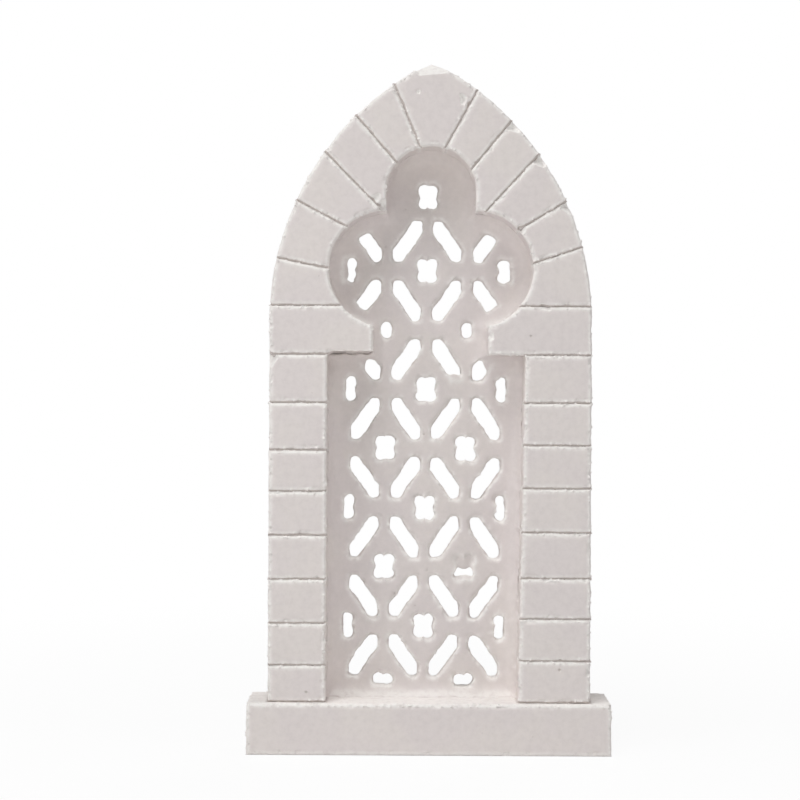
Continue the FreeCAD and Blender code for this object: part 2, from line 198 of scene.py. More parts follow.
# The floor reaches this far each way. It looks nearly white up to the first distance from the
# middle, with this share of plain white, and wholly white from the second one on.
FLOOR_REACH = 4.0
FLOOR_NEAR = 0.06
FLOOR_FAR = 0.30
FLOOR_WHITE = 0.93

# Strength of the white light from all round.
WORLD_LIGHT = 0.04

# Broken places on the stones: x and z of the middle, how far each reaches and how deep it goes.
CHIPS = {
    "point of the arch": (-0.2, 172.0, 4.2, 1.7),
    "left cusp": (-12.2, 137.6, 2.4, 0.9),
    "left end of the left cusp": (-14.0, 139.4, 1.5, 0.5),
    "pit in the keystone": (-3.4, 165.7, 0.55, 0.5),
    "rough edge of the keystone": (7.6, 163.9, 1.5, 0.45),
    "rough edge below it": (9.0, 162.3, 1.2, 0.4),
    "shoulder of the top left block": (-39.9, 98.6, 1.9, 1.1),
    "first shoulder on the right": (20.6, 156.8, 1.8, 0.9),
    "second shoulder on the right": (27.2, 148.4, 1.9, 1.0),
    "third shoulder on the right": (34.1, 136.8, 1.8, 0.9),
    "notch in the right lobe": (22.6, 131.5, 1.2, 0.9),
    "notch beside the left impost": (-14.3, 107.3, 1.1, 0.7),
    "chip beside the right impost": (15.2, 104.5, 1.0, 0.5),
    "dip on the right impost": (28.6, 112.1, 1.5, 0.55),
    "left arm of the sill": (-45.4, 12.8, 1.6, 0.7),
    "right arm of the sill": (45.4, 12.8, 1.5, 0.6),
}

# Webs of plaster left in the screen: x and z of the middle, half the width and height, and how far
# the middle lies behind the screen's front.
WEBS = {
    "outer end of the half slot under the left impost": (-17.9, 98.6, 1.7, 2.9, 0.8),
    "outer end of the half slot under the right impost": (15.4, 98.6, 1.8, 3.0, 0.8),
    "end of a slot under the right impost": (6.5, 94.1, 1.9, 1.5, 0.7),
    "upper part of the right lower eye": (9.0, 47.2, 2.8, 2.2, 1.4),
    "lower part of the right lower eye": (9.0, 42.9, 2.8, 1.1, 1.2),
    "lip of the left lower half eye": (-11.2, 15.0, 2.4, 0.6, 1.0),
    "lip of the left lobe's eye": (-19.0, 119.6, 0.9, 0.8, 1.0),
    "outer side of the left lobe's eye": (-22.2, 122.0, 1.3, 3.4, 1.0),
    "outer side of the right lobe's eye": (21.4, 121.5, 1.2, 3.4, 1.0),
}


class CastingSizes(bpy.types.PropertyGroup):
    """Sizes of the casting's faults, which a user would change."""

    stone_voxel: bpy.props.FloatProperty(
        name="Stone mesh", description="Spacing of the mesh on the stones",
        default=0.20 * MM, precision=5, subtype="DISTANCE", unit="LENGTH",
    )
    screen_voxel: bpy.props.FloatProperty(
        name="Screen mesh", description="Spacing of the mesh on the pierced screen",
        default=0.32 * MM, precision=5, subtype="DISTANCE", unit="LENGTH",
    )
    swell_depth: bpy.props.FloatProperty(
        name="Swell depth", description="Height of the slow unevenness of a face",
        default=0.12 * MM, precision=5, subtype="DISTANCE", unit="LENGTH",
    )
    swell_length: bpy.props.FloatProperty(
        name="Swell length", description="Distance between the rises of the slow unevenness",
        default=9.0 * MM, precision=5, subtype="DISTANCE", unit="LENGTH",
    )
    grain_depth: bpy.props.FloatProperty(
        name="Grain depth", description="Height of the close unevenness of a face",
        default=0.035 * MM, precision=5, subtype="DISTANCE", unit="LENGTH",
    )
    grain_length: bpy.props.FloatProperty(
        name="Grain length", description="Distance between the rises of the close unevenness",
        default=1.1 * MM, precision=5, subtype="DISTANCE", unit="LENGTH",
    )
    stone_waver: bpy.props.FloatProperty(
        name="Stone waver", description="How far the arrises of the stones stray from a straight line",
        default=0.30 * MM, precision=5, subtype="DISTANCE", unit="LENGTH",
    )
    screen_waver: bpy.props.FloatProperty(
        name="Screen waver", description="How far the holes of the screen stray from their outline",
        default=0.75 * MM, precision=5, subtype="DISTANCE", unit="LENGTH",
    )
    waver_length: bpy.props.FloatProperty(
        name="Waver length", description="Distance between the strayings",
        default=4.2 * MM, precision=5, subtype="DISTANCE", unit="LENGTH",
    )
    corner_radius: bpy.props.FloatProperty(
        name="Corner radius", description="Radius of the hollow corner between the screen and the stones",
        default=3.5 * MM, precision=5, subtype="DISTANCE", unit="LENGTH",
    )
    corner_overlap: bpy.props.FloatProperty(
        name="Corner overlap", description="How far the screen runs into the stones at its front",
        default=0.8 * MM, precision=5, subtype="DISTANCE", unit="LENGTH",
    )
    arris_depth: bpy.props.FloatProperty(
        name="Arris depth", description="How deep the broken places of an arris go",
        default=0.42 * MM, precision=5, subtype="DISTANCE", unit="LENGTH",
    )
    arris_reach: bpy.props.FloatProperty(
        name="Arris reach", description="How far the broken places spread from an arris",
        default=1.1 * MM, precision=5, subtype="DISTANCE", unit="LENGTH",
    )
    arris_length: bpy.props.FloatProperty(
        name="Arris length", description="Length of the broken places along an arris",
        default=2.6 * MM, precision=5, subtype="DISTANCE", unit="LENGTH",
    )
    pit_radius: bpy.props.FloatProperty(
        name="Pit radius", description="Radius of the largest air bubble that has come open",
        default=0.42 * MM, precision=5, subtype="DISTANCE", unit="LENGTH",
    )
    pit_density: bpy.props.FloatProperty(
        name="Pit density", description="Open air bubbles on each square metre", default=2200.0,
    )
    crumb_size: bpy.props.FloatProperty(
        name="Crumb size", description="Radius of the crumbs that stick to the lips of the joints",
        default=0.30 * MM, precision=5, subtype="DISTANCE", unit="LENGTH",
    )
    screen_crumb_size: bpy.props.FloatProperty(
        name="Screen crumb size", description="Radius of the crumbs that stick to the edges of the holes",
        default=0.48 * MM, precision=5, subtype="DISTANCE", unit="LENGTH",
    )
    crumb_spacing: bpy.props.FloatProperty(
        name="Crumb spacing", description="Distance between the places where a crumb may stick",
        default=0.8 * MM, precision=5, subtype="DISTANCE", unit="LENGTH",
    )
    stone_crumbs: bpy.props.FloatProperty(
        name="Crumbs on stones", description="Share of the places on the stones that have a crumb",
        default=0.19, min=0.0, max=1.0, subtype="FACTOR",
    )
    screen_crumbs: bpy.props.FloatProperty(
        name="Crumbs on the screen", description="Share of the places on the screen that have a crumb",
        default=0.30, min=0.0, max=1.0, subtype="FACTOR",
    )
    stone_softness: bpy.props.IntProperty(
        name="Stone softness", description="How often the mesh of a stone is smoothed", default=1,
    )
    screen_softness: bpy.props.IntProperty(
        name="Screen softness", description="How often the mesh of the screen is smoothed", default=12,
    )
    seed: bpy.props.IntProperty(name="Seed", description="Start of every random choice", default=7)


class CastingColours(bpy.types.PropertyGroup):
    """Colours of the plaster and of the stage."""

    cream: bpy.props.FloatVectorProperty(
        name="Cream", description="Warmer patches of the plaster",
        default=(0.785, 0.727, 0.700), size=3, min=0.0, max=1.0, subtype="COLOR",
    )
    grey: bpy.props.FloatVectorProperty(
        name="Grey", description="Cooler, slightly pink patches of the plaster",
        default=(0.767, 0.706, 0.692), size=3, min=0.0, max=1.0, subtype="COLOR",
    )
    # Whiter plaster of worn arrises and chips, and also the colour of the painted light on faces and
    # arrises that look up and of the painted highlight on the joint lips.
    chalk_and_highlight: bpy.props.FloatVectorProperty(
        name="Chalk and highlight", description="Rubbed arrises and powdered upward faces, where the plaster is whiter",
        default=(0.950, 0.925, 0.895), size=3, min=0.0, max=1.0, subtype="COLOR",
    )
    # Colour of the painted shade in pits and of the dark joint lines, which are also painted as the shadow
    # under the upper stone.
    shade_and_joint_dirt: bpy.props.FloatVectorProperty(
        name="Shade and joint dirt", description="Painted shade in pits and dark joint lines with their painted shadow",
        default=(0.46, 0.40, 0.365), size=3, min=0.0, max=1.0, subtype="COLOR",
    )
    floor: bpy.props.FloatVectorProperty(
        name="Floor", description="Pale floor under the casting",
        default=(0.9, 0.9, 0.9), size=3, min=0.0, max=1.0, subtype="COLOR",
    )


class CastingView(bpy.types.PropertyGroup):
    """Place, lens and roll of the camera."""

    eye: bpy.props.FloatVectorProperty(
        name="Eye", description="Place of the camera",
        default=(-7.6 * MM, -381 * MM, 88.6 * MM), size=3, subtype="TRANSLATION", unit="LENGTH",
    )
    lens: bpy.props.FloatProperty(
        name="Lens", description="Focal length of the camera", default=67.5, unit="CAMERA",
    )
    roll: bpy.props.FloatProperty(
        name="Roll", description="Turn of the camera about its own axis",
        default=math.radians(0.3), subtype="ANGLE", unit="ROTATION",
    )


# Node helpers

def add_node(tree, kind, inputs=(), **settings):
    """Add a node, set its options and link or fill its inputs."""
    node = tree.nodes.new(kind)
    for key, value in settings.items():
        setattr(node, key, value)
    for key, value in dict(inputs).items():
        if isinstance(key, str):
            socket = next(item for item in node.inputs if item.name == key and item.enabled)
        else:
            socket = node.inputs[key]
        if isinstance(value, bpy.types.NodeSocket):
            tree.links.new(value, socket)
        else:
            socket.default_value = value
    return node


def maths(tree, operation, *values, clamp=False):
    """One arithmetic step."""
    node = add_node(tree, "ShaderNodeMath", enumerate(values), operation=operation, use_clamp=clamp)
    return node.outputs[0]


def vectors(tree, operation, *values):
    """One vector step."""
    node = add_node(tree, "ShaderNodeVectorMath", enumerate(values), operation=operation)
    return node.outputs["Value" if operation in ("LENGTH", "DISTANCE", "DOT_PRODUCT") else "Vector"]


def ramp(tree, value, low, high, start=0.0, end=1.0):
    """Smooth step of a value from one level to another."""
    inputs = {"Value": value, "From Min": low, "From Max": high, "To Min": start, "To Max": end}
    return add_node(tree, "ShaderNodeMapRange", inputs, interpolation_type="SMOOTHSTEP").outputs["Result"]


def noise(tree, where, length, seed, detail=2.0, roughness=0.5):
    """Soft noise with rises about one length apart."""
    inputs = {
        "Vector": where, "W": seed, "Scale": maths(tree, "DIVIDE", 1.0, length),
        "Detail": detail, "Roughness": roughness,
    }
    return add_node(tree, "ShaderNodeTexNoise", inputs, noise_dimensions="4D").outputs[0]


def new_tree(name, inputs):
    """Geometry Nodes tree with a mesh in, a mesh out and the named inputs between."""
    tree = bpy.data.node_groups.new(name, "GeometryNodeTree")
    tree.interface.new_socket("Mesh", in_out="INPUT", socket_type="NodeSocketGeometry")
    for label, kind in inputs:
        tree.interface.new_socket(label, in_out="INPUT", socket_type=f"NodeSocket{kind}")
    tree.interface.new_socket("Mesh", in_out="OUTPUT", socket_type="NodeSocketGeometry")
    return tree, add_node(tree, "NodeGroupInput").outputs


def close_tree(tree, mesh, material):
    """Last steps of every tree."""
    real = add_node(tree, "GeometryNodeRealizeInstances", {0: mesh})
    painted = add_node(tree, "GeometryNodeSetMaterial", {"Geometry": real.outputs[0], "Material": material})
    add_node(tree, "NodeGroupOutput", {0: painted.outputs[0]})
    return tree


def use_tree(thing, tree, values):
    """Put a tree on an object and set its inputs by their identifiers."""
    modifier = thing.modifiers.new(tree.name, "NODES")
    modifier.node_group = tree
    for item in tree.interface.items_tree:
        if item.in_out == "INPUT" and item.name in values:
            modifier[item.identifier] = values[item.name]
    return modifier


# Geometry Nodes trees

def compare(tree, operation, first, second):
    """Whether one number is greater or less than another."""
    return add_node(tree, "FunctionNodeCompare", {0: first, 1: second}, operation=operation).outputs[0]


def both(tree, first, second):
    """Whether two things are true."""
    return add_node(tree, "FunctionNodeBooleanMath", {0: first, 1: second}, operation="AND").outputs[0]


def arrises_of(tree, mesh):
    """The sharp edges of a mesh."""
    angle = add_node(tree, "GeometryNodeInputMeshEdgeAngle").outputs["Unsigned Angle"]
    return add_node(
        tree, "GeometryNodeSeparateGeometry",
        {"Geometry": mesh, "Selection": compare(tree, "GREATER_THAN", angle, SHARP)}, domain="EDGE",
    ).outputs["Selection"]


def chance_of(tree, seed):
    """Random number from 0 to 1 for each point."""
    return add_node(tree, "FunctionNodeRandomValue", {"Seed": seed}, data_type="FLOAT").outputs[1]


def named_value(tree, name):
    """Number stored on a mesh under a name."""
    return add_node(tree, "GeometryNodeInputNamedAttribute", {"Name": name}, data_type="FLOAT").outputs[0]


def store(tree, mesh, name, value):
    """Mesh with a number stored on each of its points."""
    return add_node(
        tree, "GeometryNodeStoreNamedAttribute", {"Geometry": mesh, "Name": name, "Value": value},
        data_type="FLOAT", domain="POINT",
    ).outputs[0]


def corner_tree():
    """Screen whose front runs a little into the stones round it, so that no crack shows."""
    tree, given = new_tree("Run into the stones", (
        ("Overlap", "Float"), ("Middle", "Float"), ("Material", "Material"),
    ))
    position = add_node(tree, "GeometryNodeInputPosition").outputs[0]
    depth = add_node(tree, "ShaderNodeSeparateXYZ", {0: position}).outputs["Y"]
    edge = both(tree, compare(tree, "GREATER_THAN", named_value(tree, "border"), MARKED),
                compare(tree, "LESS_THAN", depth, given["Middle"]))
    normal = add_node(tree, "GeometryNodeInputNormal").outputs[0]
    outwards = vectors(tree, "NORMALIZE", vectors(tree, "MULTIPLY", normal, (1.0, 0.0, 1.0)))
    offset = add_node(
        tree, "ShaderNodeVectorMath", {0: outwards, "Scale": given["Overlap"]}, operation="SCALE",
    ).outputs["Vector"]
    wider = add_node(
        tree, "GeometryNodeSetPosition", {"Geometry": given["Mesh"], "Selection": edge, "Offset": offset},
    ).outputs[0]
    return close_tree(tree, wider, given["Material"])


def crumb_tree():
    """Crumbs of plaster stuck along the arrises in front of a given depth and above the foot."""
    tree, given = new_tree("Crumbs on arrises", (
        ("Crumb size", "Float"), ("Spacing", "Float"), ("Share", "Float"), ("Behind", "Float"),
        ("Above", "Float"), ("Seed", "Int"), ("Material", "Material"),
    ))
    wire = add_node(tree, "GeometryNodeMeshToCurve", {"Mesh": arrises_of(tree, given["Mesh"])}).outputs[0]
    places = add_node(
        tree, "GeometryNodeCurveToPoints", {"Curve": wire, "Length": given["Spacing"]}, mode="LENGTH",
    ).outputs["Points"]
    picked = compare(tree, "LESS_THAN", chance_of(tree, given["Seed"]), given["Share"])
    position = add_node(tree, "GeometryNodeInputPosition").outputs[0]
    where = add_node(tree, "ShaderNodeSeparateXYZ", {0: position}).outputs
    in_reach = both(tree, compare(tree, "LESS_THAN", where["Y"], given["Behind"]),
                    compare(tree, "GREATER_THAN", where["Z"], given["Above"]))
    lump = add_node(
        tree, "GeometryNodeMeshIcoSphere", {"Radius": given["Crumb size"], "Subdivisions": 2},
    ).outputs["Mesh"]
    turn = add_node(tree, "FunctionNodeRandomValue", {
        0: (0.0, 0.0, 0.0), 1: (math.tau, math.tau, math.tau), "Seed": maths(tree, "ADD", given["Seed"], 1),
    }, data_type="FLOAT_VECTOR").outputs[0]
    scale = add_node(tree, "FunctionNodeRandomValue", {
        0: SMALLEST_CRUMB, 1: LARGEST_CRUMB, "Seed": maths(tree, "ADD", given["Seed"], 2),
    }, data_type="FLOAT_VECTOR").outputs[0]
    crumbs = add_node(tree, "GeometryNodeInstanceOnPoints", {
        "Points": places, "Selection": both(tree, picked, in_reach), "Instance": lump,
        "Rotation": turn, "Scale": scale,
    }).outputs[0]
    joined = add_node(tree, "GeometryNodeJoinGeometry")
    tree.links.new(given["Mesh"], joined.inputs[0])
    tree.links.new(crumbs, joined.inputs[0])
    return close_tree(tree, joined.outputs[0], given["Material"])


def pit_bowls(tree, given, position):
    """How deep each point lies in the nearest open air bubble, and how far towards its middle."""
    pits = add_node(tree, "GeometryNodeDistributePointsOnFaces", {
        "Mesh": given["Mesh"], "Density": given["Pit density"], "Seed": given["Seed"],
    }).outputs["Points"]
    width = maths(tree, "MULTIPLY", given["Pit radius"],
                  ramp(tree, chance_of(tree, given["Seed"]), 0.0, 1.0, SMALLEST_PIT, 1.0))
    nearest = add_node(tree, "GeometryNodeSampleNearest", {"Geometry": pits}, domain="POINT").outputs[0]
    centre = add_node(tree, "GeometryNodeSampleIndex", {
        "Geometry": pits, "Value": position, "Index": nearest,
    }, data_type="FLOAT_VECTOR", domain="POINT").outputs[0]
    radius = add_node(tree, "GeometryNodeSampleIndex", {
        "Geometry": pits, "Value": width, "Index": nearest,
    }, data_type="FLOAT", domain="POINT").outputs[0]
    ratio = maths(tree, "DIVIDE", vectors(tree, "DISTANCE", position, centre),
                  maths(tree, "MAXIMUM", radius, NO_RADIUS))
    square = maths(tree, "MULTIPLY", ratio, ratio)
    bowl = maths(tree, "SQRT", maths(tree, "SUBTRACT", 1.0, square, clamp=True))
    return maths(tree, "MULTIPLY", bowl, radius), bowl


def wear_tree():
    """Softened mesh with uneven faces, broken and straying arrises and open air bubbles."""
    tree, given = new_tree("Worn plaster", (
        ("Original", "Object"), ("Softness", "Int"), ("Swell depth", "Float"), ("Swell length", "Float"),
        ("Grain depth", "Float"), ("Grain length", "Float"), ("Waver", "Float"), ("Waver length", "Float"),
        ("Arris depth", "Float"), ("Arris reach", "Float"), ("Arris length", "Float"),
        ("Pit radius", "Float"), ("Pit density", "Float"), ("Seed", "Int"), ("Material", "Material"),
    ))
    position = add_node(tree, "GeometryNodeInputPosition").outputs[0]
    normal = add_node(tree, "GeometryNodeInputNormal").outputs[0]
    seed = given["Seed"]
    exposed = named_value(tree, "exposed")
    blurred = add_node(tree, "GeometryNodeBlurAttribute", {
        "Value": position, "Iterations": given["Softness"], "Weight": exposed,
    }, data_type="FLOAT_VECTOR")
    soft = add_node(tree, "GeometryNodeSetPosition", {
        "Geometry": given["Mesh"],
        "Position": next(item for item in blurred.outputs if item.enabled),
    }).outputs[0]
    original = add_node(tree, "GeometryNodeObjectInfo", {"Object": given["Original"]}).outputs["Geometry"]
    distance = add_node(tree, "GeometryNodeProximity", {
        0: arrises_of(tree, original), "Sample Position": position,
    }, target_element="EDGES").outputs["Distance"]
    near = ramp(tree, distance, 0.0, given["Arris reach"], 1.0, 0.0)
    chips = ramp(tree, noise(tree, position, given["Arris length"], seed, detail=3.0, roughness=0.65),
                 BREAK_START, BREAK_FULL)
    broken = maths(tree, "MULTIPLY", maths(tree, "MULTIPLY", near, maths(tree, "ADD", chips, BREAK_ALWAYS)),
                   given["Arris depth"])
    swell = maths(tree, "MULTIPLY", given["Swell depth"], maths(
        tree, "SUBTRACT", SWELL_LEVEL, noise(tree, position, given["Swell length"], seed, detail=1.0)))
    rough = ramp(tree, near, 0.0, 1.0, 1.0, ARRIS_GRAIN)
    fine = noise(tree, position, given["Grain length"], seed, detail=3.0, roughness=0.6)
    grain = maths(tree, "MULTIPLY", maths(tree, "MULTIPLY", given["Grain depth"], rough),
                  maths(tree, "SUBTRACT", GRAIN_LEVEL, fine))
    pitted, bowl = pit_bowls(tree, given, position)
    sunk = maths(tree, "ADD", maths(tree, "ADD", swell, grain), maths(tree, "ADD", broken, pitted))
    inwards = add_node(
        tree, "ShaderNodeVectorMath", {0: normal, "Scale": maths(tree, "MULTIPLY", sunk, -1.0)},
        operation="SCALE",
    ).outputs["Vector"]
    drift = add_node(tree, "ShaderNodeTexNoise", {
        "Vector": position, "W": seed, "Scale": maths(tree, "DIVIDE", 1.0, given["Waver length"]),
        "Detail": 3.0, "Roughness": 0.6,
    }, noise_dimensions="4D").outputs["Color"]
    sideways = vectors(tree, "MULTIPLY", vectors(tree, "SUBTRACT", drift, (0.5, 0.5, 0.5)), DRIFT)
    astray = add_node(
        tree, "ShaderNodeVectorMath", {0: sideways, "Scale": given["Waver"]}, operation="SCALE",
    ).outputs["Vector"]
    offset = add_node(
        tree, "ShaderNodeVectorMath", {0: vectors(tree, "ADD", inwards, astray), "Scale": exposed},
        operation="SCALE",
    ).outputs["Vector"]
    upward = add_node(tree, "ShaderNodeSeparateXYZ", {0: normal}).outputs["Z"]
    # Painted light from above: faces that look up are whitened, and worn arrises are whiter the more they
    # look up.
    edges = maths(tree, "MULTIPLY", near, ramp(tree, upward, ARRIS_LIGHT_START, ARRIS_LIGHT_FULL, RUB_LEAST, 1.0))
    painted_top_light = ramp(tree, upward, TOP_LIGHT_START, TOP_LIGHT_FULL, 0.0, TOP_LIGHT_MOST)
    white = maths(tree, "MAXIMUM", painted_top_light, maths(tree, "MAXIMUM", named_value(tree, "lip"), edges))
    # Stored whitening: real wear of arrises and newly broken chips, with the painted highlights on upward
    # faces, upward arrises and joint lips. The dark joint line takes it away.
    rubbed = store(tree, soft, "rubbed", maths(
        tree, "SUBTRACT", white, named_value(tree, "crevice"), clamp=True))
    # Painted shade in the open air bubbles, darkest at their middle.
    dusty = store(tree, rubbed, "dusty", maths(tree, "MULTIPLY", bowl, exposed))
    moved = add_node(tree, "GeometryNodeSetPosition", {"Geometry": dusty, "Offset": offset}).outputs[0]
    return close_tree(tree, moved, given["Material"])


# Materials

def mixed(tree, factor, first, second):
    """Mix of two colours."""
    inputs = {"Factor": factor, "A": first, "B": second}
    node = add_node(tree, "ShaderNodeMix", inputs, data_type="RGBA")
    return next(item for item in node.outputs if item.enabled)


def plaster(name, colours, shift):
    """Matt plaster in patches of two colours, whiter on worn arrises, chips and where highlights and light
    from above are painted, darker with painted shade in pits and along the dark joint lines, which also
    carry a painted shadow.
    """
    material = bpy.data.materials.new(name)
    material.use_nodes = True
    tree = material.node_tree
    tree.nodes.clear()
    where = add_node(tree, "ShaderNodeTexCoord").outputs["Object"]
    patches = ramp(tree, noise(tree, where, PATCH_LENGTH, shift, detail=3.0), low=0.38, high=0.62)
    mottle = noise(tree, where, MOTTLE_LENGTH, shift + 1, detail=5.0, roughness=0.65)
    base = mixed(tree, patches, (*colours.cream, 1.0), (*colours.grey, 1.0))
    shade = add_node(tree, "ShaderNodeHueSaturation", {
        "Color": base, "Value": ramp(tree, mottle, low=0.25, high=0.75, start=0.965, end=1.03),
    }).outputs[0]
    # Whitening: real wear and newly broken chips, and painted highlights on upward faces, upward arrises
    # and joint lips.
    rubbed = add_node(tree, "ShaderNodeAttribute", attribute_name="rubbed").outputs["Fac"]
    whitening = maths(tree, "MULTIPLY", rubbed, ramp(tree, mottle, low=0.3, high=0.55, start=0.4))
    # Darkening: painted shade in pits, and the dark joint lines with the painted shadow under the upper
    # stone.
    dusty = add_node(tree, "ShaderNodeAttribute", attribute_name="dusty").outputs["Fac"]
    crevice = add_node(tree, "ShaderNodeAttribute", attribute_name="crevice").outputs["Fac"]
    shaded_and_dirty = maths(tree, "MAXIMUM", maths(tree, "MULTIPLY", dusty, PIT_SHADE_LEVEL),
                  maths(tree, "MULTIPLY", crevice, JOINT_DIRT_AND_SHADOW))
    pale = mixed(tree, whitening, shade, (*colours.chalk_and_highlight, 1.0))
    coloured = mixed(tree, shaded_and_dirty, pale, (*colours.shade_and_joint_dirt, 1.0))
    fine = noise(tree, where, FINE_LENGTH, shift + 2, detail=4.0, roughness=0.7)
    bubbles = add_node(tree, "ShaderNodeTexVoronoi", {"Vector": where, "Scale": 1 / PINHOLE_LENGTH})
    pinholes = ramp(tree, bubbles.outputs["Distance"], 0.0, PINHOLE_RADIUS, start=-1.0, end=0.0)
    height = maths(tree, "ADD", fine, pinholes)
    bump = add_node(tree, "ShaderNodeBump", {"Height": height, "Strength": 0.5, "Distance": BUMP_DEPTH})
    surface = add_node(tree, "ShaderNodeBsdfPrincipled", {
        "Base Color": coloured, "Roughness": ramp(tree, fine, low=0.2, high=0.8, start=0.78, end=0.95),
        "Normal": bump.outputs[0], "Specular IOR Level": 0.25,
    })
    add_node(tree, "ShaderNodeOutputMaterial", {"Surface": surface.outputs[0]})
    return material


def looked_at(tree):
    """Whether the camera sees a surface, by itself, in a shine or through something."""
    path = add_node(tree, "ShaderNodeLightPath").outputs
    return maths(tree, "MAXIMUM", path["Is Camera Ray"],
                 maths(tree, "MAXIMUM", path["Is Glossy Ray"], path["Is Transmission Ray"]))


def floor_material(colour):
    """Pale floor that the camera sees as white, apart from a trace of the casting's shadow."""
    material = bpy.data.materials.new("pale_floor")
    material.use_nodes = True
    tree = material.node_tree
    tree.nodes.clear()
    seen = looked_at(tree)
    where = add_node(tree, "ShaderNodeTexCoord").outputs["Object"]
    away = ramp(tree, vectors(tree, "LENGTH", where), FLOOR_NEAR, FLOOR_FAR, FLOOR_WHITE, 1.0)
    matt = add_node(tree, "ShaderNodeBsdfDiffuse", {"Color": (*colour, 1.0)})
    glow = add_node(tree, "ShaderNodeEmission", {"Strength": 1.0})
    surface = add_node(tree, "ShaderNodeMixShader", {
        0: maths(tree, "MULTIPLY", seen, away), 1: matt.outputs[0], 2: glow.outputs[0],
    })
    add_node(tree, "ShaderNodeOutputMaterial", {"Surface": surface.outputs[0]})
    return material


# Casting

def merged_copy(name, source):
    """Closed copy of a node's loose triangles."""
    mesh = source.data.copy()
    mesh.name = name
    work = bmesh.new()
    work.from_mesh(mesh)
    bmesh.ops.remove_doubles(work, verts=work.verts, dist=MERGE)
    bmesh.ops.recalc_face_normals(work, faces=work.faces)
    work.to_mesh(mesh)
    work.free()
    mesh.materials.clear()
    thing = bpy.data.objects.new(name, mesh)
    bpy.context.scene.collection.objects.link(thing)
    return thing


def settle(thing):
    """Turn an object's modifiers into its plain mesh."""
    graph = bpy.context.evaluated_depsgraph_get()
    mesh = bpy.data.meshes.new_from_object(thing.evaluated_get(graph), depsgraph=graph)
    thing.modifiers.clear()
    thing.data = mesh
    return mesh


def clean_up(mesh):
    """Delete faces that lie back to back on the same corners, and specks that hang free."""
    work = bmesh.new()
    work.from_mesh(mesh)
    groups = {}
    for face in work.faces:
        groups.setdefault(frozenset(corner.index for corner in face.verts), []).append(face)
    flaps = [face for group in groups.values() if len(group) > 1 for face in group]
    bmesh.ops.delete(work, geom=flaps, context="FACES")
    specks = []
    left = set(work.verts)
    while left:
        island = [left.pop()]
        for vertex in island:
            near = [link.other_vert(vertex) for link in vertex.link_edges]
            island += [other for other in near if other in left]
            left.difference_update(near)
        if len(island) < SPECK:
            specks += island
    bmesh.ops.delete(work, geom=specks, context="VERTS")
    work.to_mesh(mesh)
    work.free()
    return len(flaps), len(specks)


def search_tree(names):
    """Search tree of the faces of some nodes."""
    corners, faces = [], []
    for name in names:
        start = len(corners)
        corners += [vertex.co.copy() for vertex in SOURCES[name].data.vertices]
        faces += [[start + corner for corner in face.vertices] for face in SOURCES[name].data.polygons]
    return BVHTree.FromPolygons(corners, faces)


def read_points(mesh):
    """Places of the vertices."""
    points = np.empty(3 * len(mesh.vertices))
    mesh.vertices.foreach_get("co", points)
    return points.reshape(-1, 3)


def gaps(mesh, neighbours, limit=2 * FREE):
    """Distance of each vertex to its neighbours, up to a limit, and how far up they lie from it."""
    sizes, rises = [], []
    for vertex in mesh.vertices:
        place, _, _, size = neighbours.find_nearest(vertex.co, limit)
        sizes.append(limit if place is None else size)
        rises.append(0.0 if place is None or size < NO_DISTANCE else (place.z - vertex.co.z) / size)
    return np.array(sizes), np.array(rises)


def set_values(mesh, name, values):
    """Store one number for each vertex."""
    mesh.attributes.new(name, "FLOAT", "POINT").data.foreach_set("value", values)


def mark_border(piece):
    """Mark the vertices of the screen that lie against the stones."""
    stones = search_tree([name for name in SOURCES if name != SCREEN])
    set_values(piece.data, "border", (gaps(piece.data, stones)[0] < BORDERING).astype(float))


def shows_joints(points, node):
    """Where the joints show: at the front, the back and the outer sides, but not on the reveal."""
    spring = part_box("left_impost")[1].z
    middle = sum(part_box(node), Vector()) / 2
    outside = np.hypot(points[:, 0], np.clip(points[:, 2] - spring, 0, None)) > np.hypot(
        middle.x, max(middle.z - spring, 0))
    near_front = np.clip((FRONT + JOINT_DEPTH - points[:, 1]) / JOINT_FADE, 0, 1)
    near_back = np.clip((points[:, 1] - BACK + JOINT_DEPTH) / JOINT_FADE, 0, 1)
    return np.maximum(outside, np.maximum(near_front, near_back))


def mark_surfaces(mesh, node):
    """Keep what lies against another piece, let the rest wear, and find the joints' two sides: a painted
    highlight on the lip of the stone below, and the dark joint line, also painted as shadow, on the stone
    above.
    """
    free, rise = gaps(mesh, search_tree([name for name in SOURCES if name not in (node, SCREEN)]))
    # Painted light at the joints: the stone below gets a painted highlight on its lip, and the stone above
    # gets a dark joint line that is darkened as a painted shadow.
    above = np.clip(0.5 + TILT * rise, 0, 1)
    lip = above * np.clip(2 - 2 * free / LIP, 0, 1)
    crevice = (1 - above) * np.clip(2 - 2 * free / CREVICE, 0, 1)
    if node == SCREEN:
        lip, crevice = 0 * lip, 0 * crevice
    else:
        free = np.minimum(free, gaps(mesh, search_tree([SCREEN]))[0])
    points = read_points(mesh)
    shown = shows_joints(points, node)
    worn = np.clip((free - TOUCHING) / (FREE - TOUCHING), 0, 1) * np.clip(points[:, 2] / FOOT, 0, 1)
    set_values(mesh, "exposed", worn)
    set_values(mesh, "crevice", crevice * shown)
    return lip * shown


